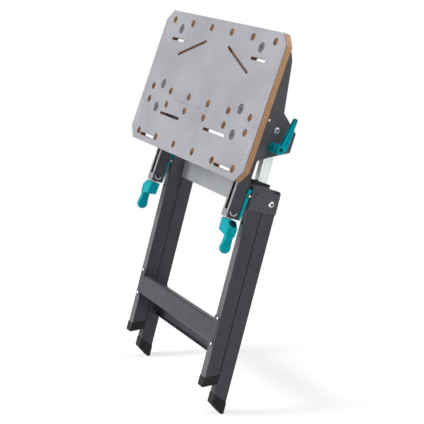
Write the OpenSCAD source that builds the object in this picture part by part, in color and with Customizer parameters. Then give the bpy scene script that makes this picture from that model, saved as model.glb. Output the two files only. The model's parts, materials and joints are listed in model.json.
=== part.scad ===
// Folding workbench with a two-part clamping top, shown folded.
// The rear legs lie against the front legs and the top stands up nearly in line with them.
// Millimetres, Z up. Two helper frames serve all the pieces, both with their zero at
// the centre of the top's face:
//   leg frame: x to the right, y to the back, z up along the legs
//   top frame: x to the right, y up along the face, z out of the face
// Right-hand pieces are drawn, and left-hand ones are their mirror images.

/* [Top] */
// width of both jaw boards
top_w = 685; // [600:1:760]
// height of the fixed jaw board
fixed_h = 237.5; // [215:0.5:260]
// height of the movable jaw board
movable_h = 137; // [120:0.5:160]
// gap at the seam with the jaws closed
seam_gap = 0.5; // [0.4:0.1:2]
// thickness of the boards
top_t = 18; // [15:0.5:22]
// size of the cut corners
corner_cut = 30; // [10:1:35]
// diameter of the dog holes
dog_d = 20; // [16:0.5:24]
// distance of the end dog holes from the side edges
dog_side = 55; // [40:1:70]
// distance of the outer dog rows from the outer edges
dog_edge = 25.5; // [20:0.5:30]
// distance of the inner dog rows from the seam
dog_seam = 19; // [15:0.5:24]
// width of the guide slots
slot_w = 8; // [6:0.5:10]
// diameter of the screw covers
cover_d = 26; // [22:0.5:30]
// thickness of the screw covers
cover_t = 2.8; // [2:0.1:4]

/* [Clamp rails] */
// distance of a rail's centre from the side edge of the boards
rail_side = 112.5; // [100:0.5:125]
// width of a rail
rail_w = 30; // [28:0.5:34]
// depth of a rail
rail_d = 34; // [32:0.5:38]
// sheet thickness of a rail
rail_wall = 2; // [1.5:0.1:2.5]
// how far the front of a rail lies behind the face
rail_back = 51; // [48:0.5:56]
// how far a rail reaches above the centre of the face
rail_above = 154; // [145:1:165]
// how far a rail reaches below the centre of the face
rail_below = 283; // [275:1:300]
// width of the slot along the front of a rail
rail_slot = 12; // [10:0.5:13]
// length of the closed part at the lower end of a rail
rail_closed = 20; // [16:0.5:24]
// diameter of the clamp spindles
spindle_d = 12; // [10:0.5:14]
// length of the carriage and of the spacer blocks along the rail
block_l = 30; // [24:1:36]
// width of the carriage and of the spacer blocks
block_w = 24; // [20:0.5:26]

/* [Tilt joint] */
// sheet thickness of the ears
ear_t = 2.5; // [2:0.1:3]
// height of an ear along the rail
ear_h = 282; // [275:1:290]
// depth of an ear behind the front of the rail
ear_d = 114; // [110:0.5:122]
// how far the pivot lies below the centre of the face
pivot_drop = 49; // [45:0.5:53]
// distance of the clamp bolt from the pivot
clamp_r = 43; // [42:0.5:46]
// diameter of the pivot and clamp bolts
bolt_d = 8; // [6:0.5:9]
// diameter of the lever's hub
hub_d = 26; // [22:0.5:30]
// length of the lever's hub and boss
hub_l = 44; // [40:0.5:50]
// length of the lever's arm
lever_l = 87; // [70:1:90]
// width of the lever's arm at its foot
lever_w = 20; // [16:0.5:22]

/* [Legs] */
// angle that the front legs lean back in use
lean = 18; // [14:0.5:20]
// angle between the face and the legs when folded
face_angle = 5; // [4.5:0.1:5.5]
// width of a leg
leg_w = 26; // [24:0.5:28]
// sheet thickness of the legs
leg_wall = 1.5; // [1:0.1:1.8]
// how far the centre of a leg lies outside the centre of a rail
leg_past = 6; // [5.75:0.05:6.5]
// distance of the front legs behind the centre of the face
leg_front = 81; // [79:0.5:83]
// depth of a leg from front to back
leg_d = 38.5; // [38:0.1:40]
// gap between the front and rear legs
leg_gap = 2; // [1.6:0.1:3]
// how far the tops of the front legs lie below the centre of the face
leg_top = 192; // [188:0.5:196]
// how far the front feet reach below the centre of the face
front_reach = 727; // [700:1:750]
// how much further down the rear feet reach than the front feet
rear_past = 42; // [28:1:58]
// how far the rear leg hinge lies below the centre of the face
hinge_drop = 234; // [232:0.5:240]
// sheet thickness of the leg heads
head_wall = 1.5; // [1:0.1:2]
// height of the leg heads
head_h = 67.5; // [64:0.5:75]
// diameter of the hinge bolts
hinge_d = 8; // [6:0.5:10]

/* [Extension tubes] */
// width of a tube
tube_w = 19; // [17:0.5:20]
// depth of a tube
tube_d = 28; // [26:0.5:28]
// wall of a tube
tube_wall = 1.5; // [1.2:0.1:2]
// how far the top of a tube lies below the centre of the face
tube_top = 37; // [36:0.5:38]
// how far the lower end of a tube lies below the centre of the face
tube_end = 500; // [470:1:530]
// spacing of the latch holes
latch_pitch = 32; // [28:0.5:34]
// number of latch holes
latch_holes = 7; // [5:1:8]

/* [Braces and panel] */
// height of the cross panel
panel_h = 51; // [45:0.5:56]
// distance of the panel's top edge below the centre of the face
panel_drop = 210; // [205:0.5:214]
// height of the front brace
brace_h = 57; // [50:0.5:65]
// height of the front brace's top edge above the front feet
brace_lift = 170; // [150:1:190]
// height of the rear brace
rear_brace_h = 88; // [80:1:100]
// height of the rear brace's top edge above the rear feet
rear_brace_lift = 191; // [175:1:215]
// depth of the folded edges of the braces
brace_d = 16; // [12:0.5:20]
// sheet thickness of panel and braces
brace_wall = 1.5; // [1:0.1:2]
// height of the feet
foot_h = 25.5; // [22:0.5:28]
// thickness of the soles
sole_t = 8; // [6:0.5:10]

/* [Cranks and latches] */
// height of a crank's body
crank_h = 39; // [34:0.5:42]
// gap between the end of a rail and its crank
crank_gap = 3; // [2:0.1:5]
// reach of a crank's body to the inner side
crank_in = 14; // [12:0.5:18]
// reach of a crank's body to the outer side
crank_out = 37; // [32:0.5:38]
// length of a crank with its grip
crank_l = 85; // [80:0.5:92]
// width of a grip
grip_w = 30; // [26:0.5:32]
// thickness of a grip
grip_t = 14; // [10:0.5:16]
// width of a latch lever
latch_w = 17; // [15:0.5:18]
// length of a latch lever below its pin
latch_l = 65; // [55:0.5:66]
// diameter of the latch pins
latch_pin_d = 4; // [3:0.1:5]

/* [Fits] */
// radial clearance of a turning fit
turn_gap = 0.05; // [0.02:0.01:0.1]
// clearance between pieces that slide past one another
slide_gap = 0.3; // [0.25:0.05:0.5]
// clearance between a piece and the seat that it is pressed or bolted into
seat_gap = 0.1; // [0.05:0.01:0.15]

/* [Hidden] */
$fn = 48;
over = 1;
// top frame places
top_edge = (fixed_h + movable_h + seam_gap) / 2;
seam_v = top_edge - fixed_h;
low_seam_v = seam_v - seam_gap;
low_edge = -top_edge;
dog_count = 6;
dog_pitch = (top_w - 2 * dog_side) / (dog_count - 1);
// screw places along the rails, as distances from the board edges
screw_edge = 46.5;
screw_seam = 32;
screw_low_seam = 34;
screw_upper_v = top_edge - screw_edge;
screw_lower_v = seam_v + screw_seam;
screw_movable_v = low_seam_v - screw_low_seam;
rail_x = top_w / 2 - rail_side;
rail_n = -rail_back - rail_d / 2;
screw_d = 6;
screw_head_d = 12;
screw_head_t = 3;
screw_head_gap = 0.5;
cover_hole_d = 4;
// guide slots as shares: x of the half width, or of the rail's distance for the middle ones,
// and height of each jaw
slot_up_x_shares = [0.584, 0.774];
slot_up_v_share = 0.674;
slot_diag_x_shares = [0.584, 0.193];
slot_diag_v_shares = [0.514, 0.727];
slot_mid_x_shares = [0.34, 0.825];
slot_mid_v_share = 0.675;
slot_low_x_shares = [0.559, 0.788];
slot_low_v_share = 0.142;
// cut at the upper rear corner of a rail
rail_cut_v = 20;
rail_cut_n = 10;
mark_r = 9.5;
mark_w = 2;
mark_t = 0.6;
mark_v = 17;
mark_arc = 170;
plug_l = 10;
nut_w = 20;
nut_t = 5;
screw_past_nut = 2;
collar_d = 18;
collar_t = 3;
spindle_past = 10;
// leg frame places
leg_x = rail_x + leg_past;
leg_back = leg_front + leg_d;
rear_front = leg_back + leg_gap;
rear_d = leg_d;
rear_back = rear_front + rear_d;
rear_reach = front_reach + rear_past;
hinge_y = rear_front + rear_d / 2;
tube_gap = 0.5;
tube_y = leg_back - leg_wall - tube_gap - tube_d / 2;
ear_x = rail_x + rail_w / 2;
tube_out = ear_x - tube_gap;
tube_x = tube_out - tube_w / 2;
// pivot in the top frame
pivot_v = tube_y * sin(face_angle) - pivot_drop * cos(face_angle);
pivot_n = -tube_y * cos(face_angle) - pivot_drop * sin(face_angle);
clamp_drop = pivot_drop + clamp_r;
tilt_travel = 67;
slot_spare = 1;
// ear outline as shares of its height and depth, from its lower front corner
ear_low = rail_above - ear_h;
ear_shares = [
    [0, 0.026], [1, 0.026], [1, 0.219], [0.929, 0.307], [0.479, 0.535], [0.39, 0.825],
    [0.337, 0.991], [0.16, 1], [0.064, 0.526], [0, 0.272]
];
rivet_d = 6;
rivet_t = 1.6;
rivet_hole_d = 4;
// rivet places, as distances from the upper end and the front of the rail
ear_rivet_low_down = 176;
ear_rivet_low_in = 27;
ear_rivet_up_down = 54;
ear_rivet_up_in = 17;
ear_rivet_places = [
    [rail_above - ear_rivet_low_down, -rail_back - ear_rivet_low_in],
    [rail_above - ear_rivet_up_down, -rail_back - ear_rivet_up_in]
];
bolt_head_d = 16;
bolt_head_t = 4.5;
nut_d = 13;
nut_h = 5;
// head outline as shares of its depth and height, from its upper front corner
head_y = leg_front - head_wall;
head_past = 1;
head_d = rear_back + head_past - head_y;
head_shares = [
    [0, 0], [0.515, 0], [0.698, 0.127], [0.88, 0.218], [0.99, 0.165], [1, 0.18], [1, 1], [0, 1]
];
cheek_out = leg_x + leg_w / 2 + head_wall;
cheek_in = leg_x - leg_w / 2 - head_wall;
rear_w = leg_w - 2 * slide_gap;
bush_d = 14;
// latch in the leg frame
latch_pin_out = 5;
latch_pin_drop = 32;
latch_pin_y = leg_front - latch_pin_out;
latch_pin_z = -leg_top - latch_pin_drop;
tongue_w = 10;
tongue_h = 5;
tongue_above = 9.5;
tongue_tip = 15;
tongue_gap = 0.5;
latch_window_w = tongue_w + 2 * tongue_gap;
latch_window_low = 6;
latch_window_h = 16;
latch_hole_h = 8.5;
lug_t = 1.5;
lug_out = 5;
lug_h = 14;
latch_head_t = 1.6;
latch_head_past = 1.2;
// lever outline about its pin, front side first: shares of its depth forward and of its length up
latch_front = 14;
latch_back_gap = 0.4;
latch_front_shares = [
    [-0.06, -0.25], [-0.62, -1], [-0.86, -1.015], [-1, -0.96], [-0.56, 0.03], [-0.45, 0.15], [-0.35, 0.26]
];
latch_back_shares = [0.26, -0.02];
// guide cap
cap_h = 11;
cap_low_back = 5;
cap_front = 1;
cap_rear = 4;
cap_side = 1.5;
skirt_h = 10;
// plug at the rear of the head
plug_shares = [0.72, 0.985];
plug_drop = 7;
plug_h = 12;
// feet
foot_wall = 1.1;
sole_a = hinge_y - (rear_front - foot_wall);
sole_b = rear_reach - hinge_drop;
front_low_y = leg_front - foot_wall;
floor_drop = front_reach * cos(lean) + front_low_y * sin(lean);
hinge_drop_world = hinge_drop * cos(lean) + hinge_y * sin(lean);
hinge_height = floor_drop - hinge_drop_world;
sole_angle = atan2(sole_a, sole_b) + acos(hinge_height / norm([sole_a, sole_b]));
heel_share = 0.82;
heel_rise = 2;
rear_foot_top_angle = 25;
rear_foot_past = 2;
// braces: their places, the tabs past their edges, and the rivets on the legs
brace_drop = front_reach - brace_lift;
rear_brace_drop = rear_reach - rear_brace_lift;
tab_up = 16;
tab_down = 6;
tab_past = 8;
tab_reach = leg_x + tab_past;
brace_r = 9;
brace_side_gap = 1;
leg_hole_d = 9;
leg_hole_down = 103;
brace_half = leg_x - leg_w / 2 - brace_side_gap;
brace_rivet_d = 8;
brace_rivet_t = 2;
brace_rivet_past = 1;
brace_rivet_edge = 5;
brace_rivet_x = leg_x + brace_rivet_past;
brace_rivet_rows = [-brace_drop + tab_up - brace_rivet_edge, -brace_drop - brace_h];
rear_rivet_rows = [-rear_brace_drop - tab_down, -rear_brace_drop - rear_brace_h + tab_down];
// cross panel: its folds and the rivets at its ends
panel_fold_share = 0.7;
panel_rivet_shares = [0.25, 0.75];
panel_rivet_y = leg_back + brace_d / 3;
panel_rivet_rows = [for (k = panel_rivet_shares) -panel_drop - panel_h * k];
// where the part stands: the lowest corner is a rear heel, and the extremes give the middle
rear_foot_w = rear_d + 2 * foot_wall;
heel_y = rear_front - foot_wall + heel_share * rear_foot_w;
heel_z = -rear_reach - heel_share * rear_foot_w * tan(sole_angle);
heel_back_y = rear_back + foot_wall;
heel_back_z = heel_z + heel_rise;
lift = max(
    heel_y * sin(lean) - heel_z * cos(lean),
    heel_back_y * sin(lean) - heel_back_z * cos(lean)
);
front_most = front_low_y * cos(lean) - front_reach * sin(lean);
lever_angle = 11;
lever_shift = 8.3;
arm_end_share = 0.4;
lever_tip_w = lever_w * arm_end_share;
lever_tip_y = tube_y + lever_l * sin(lever_angle) + (lever_shift + lever_tip_w / 2) * cos(lever_angle);
lever_tip_z = -clamp_drop + lever_l * cos(lever_angle);
rail_back_y = (rail_above - rail_cut_v) * sin(face_angle) + (rail_back + rail_d) * cos(face_angle);
rail_back_z = (rail_above - rail_cut_v) * cos(face_angle) - (rail_back + rail_d) * sin(face_angle);
ear_backs = [
    for (p = ear_shares)
        let (v = ear_low + p[0] * ear_h, back = rail_back + p[1] * ear_d)
        (v * sin(face_angle) + back * cos(face_angle)) * cos(lean)
            + (v * cos(face_angle) - back * sin(face_angle)) * sin(lean)
];
back_most = max(
    lever_tip_y * cos(lean) + lever_tip_z * sin(lean),
    rail_back_y * cos(lean) + rail_back_z * sin(lean),
    max(ear_backs)
);
y_shift = -(front_most + back_most) / 2;
// crank: its outline as shares of its width and height, from its upper inner corner
crank_shares = [[0, 0], [0.686, 0], [1, 0.41], [0.97, 1.01], [0.696, 1.01], [0.078, 0.846]];
crank_body_gap = 3;
crank_bore_share = 0.7;
crank_recess_t = 6;
crank_recess_share = 0.9;
crank_neck_share = 1.05;
grip_in = 1.5;
grip_neck_share = 0.67;
// tilt lever, as shares of the hub's length and diameter and of the arm's width
rib_count = 24;
rib_t = 0.8;
rib_share = 0.72;
arm_start_share = 0.64;
arm_share = 0.27;
arm_foot_shares = [[-0.5, 0], [-0.05, -0.37], [0.5, 0.2]];
boss_share = 0.8;
arm_groove_t = 3;
arm_groove_share = 0.5;
arm_groove_start_share = 0.62;

// colours as in the photo
face_colour = [0.69, 0.7, 0.73];
steel_colour = [0.28, 0.29, 0.31];
bolt_colour = [0.75, 0.76, 0.78];
teal_colour = [0, 0.6, 0.66];
tube_colour = [0.84, 0.87, 0.86];
black_colour = [0.12, 0.12, 0.13];
panel_colour = [0.58, 0.6, 0.61];
cover_colour = [0.45, 0.46, 0.5];

// helper frames and sides
module leg_frame() {
    translate([0, y_shift, lift]) rotate([-lean, 0, 0]) children();
}

module top_frame() {
    leg_frame() rotate([90 - face_angle, 0, 0]) children();
}

module on_side(side) {
    if (side > 0) children();
    else mirror([1, 0, 0]) children();
}

// a flat shape drawn in the plane across the part, made thick from x to x + run
module across(x, run) {
    translate([x, 0, 0]) rotate([90, 0, 90]) linear_extrude(run) children();
}

// a round bar from x to x + run
module bar_x(x, run, d, y, z) {
    translate([x, y, z]) rotate([0, 90, 0]) cylinder(d = d, h = run);
}

// a box with the given low corner and size
module box(low, size) {
    translate(low) cube(size);
}

module round_box_shape(w, h, r) {
    translate([r, 0]) square([w - 2 * r, h]);
    translate([0, r]) square([w, h - 2 * r]);
    for (x = [r, w - r], y = [r, h - r]) translate([x, y]) circle(r = r);
}

module slot_shape(from, to, w) {
    run = norm(to - from);
    translate(from) rotate(atan2(to[1] - from[1], to[0] - from[0])) {
        translate([0, -w / 2]) square([run, w]);
        circle(d = w);
        translate([run, 0]) circle(d = w);
    }
}

// points of an arc about a centre
function arc_points(centre, r, low, high, steps) = [
    for (k = [0:steps])
        let (a = low + (high - low) * k / steps)
        centre + r * [cos(a), sin(a)]
];

// outline of a curved slot with round ends about the zero point
module arc_slot_shape(r, w, low, high) {
    long_steps = 16;
    end_steps = 4;
    step = 180 / (end_steps + 2);
    polygon(concat(
        arc_points([0, 0], r + w / 2, low, high, long_steps),
        arc_points(r * [cos(high), sin(high)], w / 2, high + step, high + 180 - step, end_steps),
        arc_points([0, 0], r - w / 2, high, low, long_steps),
        arc_points(r * [cos(low), sin(low)], w / 2, low + 180 + step, low - step + 360, end_steps)
    ));
}

// a domed rivet head with its shank, along +Z from the face that it sits on
module rivet(head_d, head_t, shank_d, grip) {
    translate([0, 0, -grip]) cylinder(d = shank_d, h = grip);
    rotate_extrude() polygon([
        [0, 0], [head_d / 2, 0], [head_d / 2, head_t / 3], [head_d / 4, head_t], [0, head_t]
    ]);
}

// a bolt with a round washer head, along +Z from the face that the head sits on
module bolt(head_d, head_t, d, grip, tail_d, tail_t) {
    rotate_extrude() polygon([
        [0, 0], [head_d / 2, 0], [head_d / 2, head_t / 3], [head_d / 3, head_t], [0, head_t]
    ]);
    translate([0, 0, -grip]) cylinder(d = d, h = grip + head_t / 3);
    if (tail_t > 0) translate([0, 0, -grip - tail_t]) cylinder(d = tail_d, h = tail_t, $fn = 6);
}

// top boards
module board_holes(rows) {
    for (v = rows, k = [0:dog_count - 1])
        translate([(k - (dog_count - 1) / 2) * dog_pitch, v, -top_t - over])
            cylinder(d = dog_d, h = top_t + 2 * over);
}

module board_slot(from, to) {
    for (s = [-1, 1]) translate([0, 0, -top_t - over]) linear_extrude(top_t + 2 * over)
        slot_shape([s * from[0], from[1]], [s * to[0], to[1]], slot_w);
}

// seat of a screw with its cover
module screw_seat(v) {
    for (s = [-1, 1]) translate([s * rail_x, v, 0]) {
        translate([0, 0, -cover_t - 2 * seat_gap]) cylinder(d = cover_d + 2 * seat_gap, h = cover_t + over);
        translate([0, 0, -cover_t - screw_head_t - 4 * seat_gap])
            cylinder(d = screw_head_d + 2 * screw_head_gap, h = cover_t + screw_head_t);
        translate([0, 0, -top_t - over]) cylinder(d = screw_d + 4 * seat_gap, h = top_t);
    }
}

module fixed_jaw() {
    half = top_w / 2;
    color(face_colour) top_frame() difference() {
        translate([0, 0, -top_t]) linear_extrude(top_t) polygon([
            [-half, seam_v], [half, seam_v], [half, top_edge - corner_cut], [half - corner_cut, top_edge],
            [-half + corner_cut, top_edge], [-half, top_edge - corner_cut]
        ]);
        board_holes([top_edge - dog_edge, seam_v + dog_seam]);
        board_slot([half * slot_up_x_shares[0], seam_v + fixed_h * slot_up_v_share],
            [half * slot_up_x_shares[1], seam_v + fixed_h * slot_up_v_share]);
        board_slot([half * slot_diag_x_shares[0], seam_v + fixed_h * slot_diag_v_shares[0]],
            [half * slot_diag_x_shares[1], seam_v + fixed_h * slot_diag_v_shares[1]]);
        screw_seat(screw_upper_v);
        screw_seat(screw_lower_v);
    }
}

module movable_jaw() {
    half = top_w / 2;
    color(face_colour) top_frame() difference() {
        translate([0, 0, -top_t]) linear_extrude(top_t) polygon([
            [-half, low_seam_v], [half, low_seam_v],
            [half, low_edge + corner_cut], [half - corner_cut, low_edge],
            [-half + corner_cut, low_edge], [-half, low_edge + corner_cut]
        ]);
        board_holes([low_edge + dog_edge, low_seam_v - dog_seam]);
        board_slot([rail_x * slot_mid_x_shares[0], low_edge + movable_h * slot_mid_v_share],
            [rail_x * slot_mid_x_shares[1], low_edge + movable_h * slot_mid_v_share]);
        board_slot([half * slot_low_x_shares[0], low_edge + movable_h * slot_low_v_share],
            [half * slot_low_x_shares[1], low_edge + movable_h * slot_low_v_share]);
        screw_seat(screw_movable_v);
    }
}

module cover_at(v) {
    for (s = [-1, 1]) translate([s * rail_x, v, -cover_t - 2 * seat_gap]) difference() {
        cylinder(d = cover_d, h = cover_t);
        translate([0, 0, -over]) cylinder(d = cover_hole_d, h = cover_t + 2 * over);
    }
}

module screw_at(v, reach) {
    head_n = -cover_t - screw_head_t - 4 * seat_gap;
    for (s = [-1, 1]) translate([s * rail_x, v, head_n]) {
        difference() {
            cylinder(d = screw_head_d, h = screw_head_t);
            translate([0, 0, screw_head_t / 2]) cylinder(d = screw_d, h = screw_head_t, $fn = 6);
        }
        translate([0, 0, -reach - head_n]) cylinder(d = screw_d, h = reach + head_n);
    }
}

module fixed_covers() {
    color(cover_colour) top_frame() {
        cover_at(screw_upper_v);
        cover_at(screw_lower_v);
    }
}

module movable_covers() {
    color(cover_colour) top_frame() cover_at(screw_movable_v);
}

module fixed_screws() {
    color(bolt_colour) top_frame() {
        screw_at(screw_upper_v, rail_back + rail_wall + nut_t + screw_past_nut);
        screw_at(screw_lower_v, rail_back + rail_wall + nut_t + screw_past_nut);
    }
}

module movable_screws() {
    color(bolt_colour) top_frame() screw_at(screw_movable_v, rail_back - 2 * nut_t);
}

module rail_nuts() {
    color(bolt_colour) top_frame() for (s = [-1, 1], v = [screw_upper_v, screw_lower_v])
        translate([s * rail_x, v, -rail_back - rail_wall - nut_t]) difference() {
            translate([-nut_w / 2, -nut_w / 2, 0]) cube([nut_w, nut_w, nut_t]);
            translate([0, 0, -over]) cylinder(d = screw_d + 2 * turn_gap, h = nut_t + 2 * over);
        }
}

module spacer(side, v) {
    color(black_colour) top_frame() on_side(side) translate([rail_x, v, -rail_back]) difference() {
        translate([-block_w / 2, -block_l / 2, 0]) cube([block_w, block_l, rail_back - top_t]);
        translate([0, 0, -over]) cylinder(d = screw_d + 4 * seat_gap, h = rail_back);
    }
}

// carriage of the movable jaw: a block under the board, a neck through the slot and the nut in the rail
module jaw_carriage(side) {
    neck_w = rail_slot - 2 * slide_gap;
    nut_body_w = rail_w - 2 * rail_wall - 2 * slide_gap;
    nut_body_h = rail_d - 2 * rail_wall - 2 * slide_gap;
    block_h = rail_back - top_t - slide_gap;
    color(black_colour) top_frame() on_side(side) translate([rail_x, screw_movable_v, 0]) difference() {
        union() {
            box([-block_w / 2, -block_l / 2, -top_t - block_h], [block_w, block_l, block_h]);
            box([-neck_w / 2, -block_l / 2, rail_n], [neck_w, block_l, -rail_n - rail_back + over]);
            box([-nut_body_w / 2, -block_l / 2, rail_n - nut_body_h / 2], [nut_body_w, block_l, nut_body_h]);
        }
        translate([0, -block_l / 2 - over, rail_n]) rotate([-90, 0, 0])
            cylinder(d = spindle_d + 2 * turn_gap, h = block_l + 2 * over);
        translate([0, 0, -rail_back + nut_t]) cylinder(d = screw_d + 2 * turn_gap, h = rail_back);
    }
}

// C-channel open to the front, with lips, a slanted upper rear corner and a closed lower front
module clamp_rail(side) {
    inner_w = rail_w - 2 * rail_wall;
    far = -rail_back - rail_d;
    color(steel_colour) top_frame() on_side(side) difference() {
        across(rail_x - rail_w / 2, rail_w) polygon([
            [-rail_below, -rail_back], [rail_above, -rail_back], [rail_above, far + rail_cut_n],
            [rail_above - rail_cut_v, far], [-rail_below, far]
        ]);
        box([rail_x - inner_w / 2, -rail_below - over, far + rail_wall],
            [inner_w, rail_below + rail_above + 2 * over, rail_d - 2 * rail_wall]);
        box([rail_x - rail_slot / 2, -rail_below + rail_closed, -rail_back - rail_wall - over],
            [rail_slot, rail_below + rail_above, rail_wall + 2 * over]);
        for (mark_x = [rail_x + rail_w / 2 - mark_t, rail_x - rail_w / 2 - over])
            across(mark_x, mark_t + over) translate([-rail_below + mark_v, rail_n])
                arc_slot_shape(mark_r, mark_w, 180 - mark_arc / 2, 180 + mark_arc / 2);
        for (p = ear_rivet_places)
            bar_x(ear_x - rail_wall - over, rail_wall + 2 * over, rivet_hole_d + 2 * turn_gap, p[0], p[1]);
    }
}

module rail_end(side) {
    w = rail_w - 2 * rail_wall - 2 * seat_gap;
    h = rail_d - 2 * rail_wall - 2 * seat_gap;
    color(black_colour) top_frame() on_side(side) translate([rail_x, -rail_below, rail_n]) difference() {
        translate([-w / 2, 0, -h / 2]) cube([w, plug_l, h]);
        translate([0, -over, 0]) rotate([-90, 0, 0])
            cylinder(d = spindle_d + 2 * turn_gap, h = plug_l + 2 * over);
    }
}

// side plate that carries the pivot, with the curved slot of the clamp bolt
module tilt_ear(side) {
    color(steel_colour) top_frame() on_side(side) difference() {
        across(ear_x, ear_t) difference() {
            polygon([for (p = ear_shares) [ear_low + p[0] * ear_h, -rail_back - p[1] * ear_d]]);
            translate([pivot_v, pivot_n]) arc_slot_shape(
                clamp_r, bolt_d + 4 * slide_gap,
                180 + face_angle - slot_spare, 180 + face_angle + tilt_travel + slot_spare
            );
        }
        bar_x(ear_x - over, ear_t + 2 * over, bolt_d + 2 * turn_gap, pivot_v, pivot_n);
        for (p = ear_rivet_places)
            bar_x(ear_x - over, ear_t + 2 * over, rivet_hole_d + 2 * turn_gap, p[0], p[1]);
    }
}

module ear_rivets() {
    color(bolt_colour) top_frame() for (s = [-1, 1], p = ear_rivet_places) on_side(s)
        translate([ear_x + ear_t, p[0], p[1]]) rotate([0, 90, 0])
            rivet(rivet_d, rivet_t, rivet_hole_d, ear_t + rail_wall);
}

// threaded spindle with its collar inside the end plug
module spindle(side) {
    top_v = screw_movable_v + block_l / 2 + spindle_past;
    low_v = -rail_below - crank_gap - crank_h * crank_bore_share;
    color(bolt_colour) top_frame() on_side(side) translate([rail_x, 0, rail_n]) {
        translate([0, low_v, 0]) rotate([-90, 0, 0]) cylinder(d = spindle_d, h = top_v - low_v);
        translate([0, -rail_below + plug_l + slide_gap, 0]) rotate([-90, 0, 0])
            cylinder(d = collar_d, h = collar_t);
    }
}

// crank: a body with a recess in its slanted upper corner, and a paddle grip
module crank(side) {
    body_w = rail_d - 2 * crank_body_gap;
    full = crank_in + crank_out;
    outline = [for (p = crank_shares) [p[0] * full - crank_in, -p[1] * crank_h]];
    slant = outline[2] - outline[1];
    recess_at = (outline[1] + outline[2]) / 2;
    grip_x = crank_out - grip_in - grip_t;
    grip_low = -crank_l + grip_w / 2;
    neck_w = grip_w * grip_neck_share;
    neck_low = -crank_h * crank_neck_share;
    color(teal_colour) top_frame() on_side(side)
        translate([rail_x, -rail_below - crank_gap, rail_n]) difference() {
            union() {
                translate([0, 0, -body_w / 2]) linear_extrude(body_w) polygon(outline);
                across(grip_x, grip_t) {
                    translate([grip_low, 0]) circle(d = grip_w);
                    polygon([
                        [-crank_h / 2, -neck_w / 2], [-crank_h / 2, neck_w / 2], [neck_low, neck_w / 2],
                        [grip_low, grip_w / 2], [grip_low, -grip_w / 2], [neck_low, -neck_w / 2]
                    ]);
                }
            }
            translate([recess_at[0], recess_at[1], 0]) rotate([0, 90, 90 + atan2(slant[1], slant[0])])
                translate([0, 0, -crank_recess_t])
                    cylinder(d = norm(slant) * crank_recess_share, h = crank_recess_t + over);
            translate([0, -crank_h * crank_bore_share, 0]) rotate([-90, 0, 0])
                cylinder(d = spindle_d + 2 * turn_gap, h = crank_h);
        }
}

// rectangular tube with a row of latch holes in its front and a shallow groove in each side
module extension_tube(side) {
    low_x = tube_x - tube_w / 2;
    low_y = tube_y - tube_d / 2;
    groove_w = 4;
    groove_t = 0.5;
    first_hole_z = latch_pin_z + tongue_above - slide_gap;
    color(tube_colour) leg_frame() on_side(side) difference() {
        box([low_x, low_y, -tube_end], [tube_w, tube_d, tube_end - tube_top]);
        box([low_x + tube_wall, low_y + tube_wall, -tube_end - over],
            [tube_w - 2 * tube_wall, tube_d - 2 * tube_wall, tube_end - tube_top + 2 * over]);
        for (k = [0:latch_holes - 1])
            box([leg_x - latch_window_w / 2, low_y - over, first_hole_z - k * latch_pitch],
                [latch_window_w, tube_wall + 2 * over, latch_hole_h]);
        for (x = [low_x - over, low_x + tube_w - groove_t])
            box([x, low_y + groove_w, -tube_end - over],
                [groove_t + over, groove_w, tube_end - clamp_drop - bolt_d]);
        bar_x(low_x - over, tube_w + 2 * over, bolt_d + 2 * turn_gap, tube_y, -pivot_drop);
        bar_x(low_x - over, tube_w + 2 * over, bolt_d + 2 * turn_gap, tube_y, -clamp_drop);
    }
}

// plastic shoe in the lower end of the tube, which guides it inside the leg
module tube_shoe(side) {
    in_w = leg_w - 2 * leg_wall - 2 * slide_gap;
    in_d = leg_d - 2 * leg_wall - 2 * slide_gap;
    flange_t = 8;
    plug_in = 14;
    plug_w = tube_w - 2 * tube_wall - 2 * seat_gap;
    plug_d = tube_d - 2 * tube_wall - 2 * seat_gap;
    color(black_colour) leg_frame() on_side(side) {
        box([leg_x - in_w / 2, leg_front + leg_wall + slide_gap, -tube_end - flange_t],
            [in_w, in_d, flange_t]);
        box([tube_x - plug_w / 2, tube_y - plug_d / 2, -tube_end - over], [plug_w, plug_d, plug_in]);
    }
}

module pivot_bolts() {
    outer = ear_x + ear_t + slide_gap;
    color(bolt_colour) leg_frame() for (s = [-1, 1]) on_side(s)
        translate([outer, tube_y, -pivot_drop]) rotate([0, 90, 0])
            bolt(bolt_head_d, bolt_head_t, bolt_d, outer - tube_x + tube_w / 2, nut_d, nut_h);
}

module clamp_bolts() {
    outer = ear_x + ear_t + slide_gap + hub_l * boss_share;
    inner = tube_x - tube_w / 2;
    color(bolt_colour) leg_frame() for (s = [-1, 1]) on_side(s) {
        bar_x(inner, outer - inner, bolt_d, tube_y, -clamp_drop);
        bar_x(inner - nut_h, nut_h, bolt_head_d, tube_y, -clamp_drop);
    }
}

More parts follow.
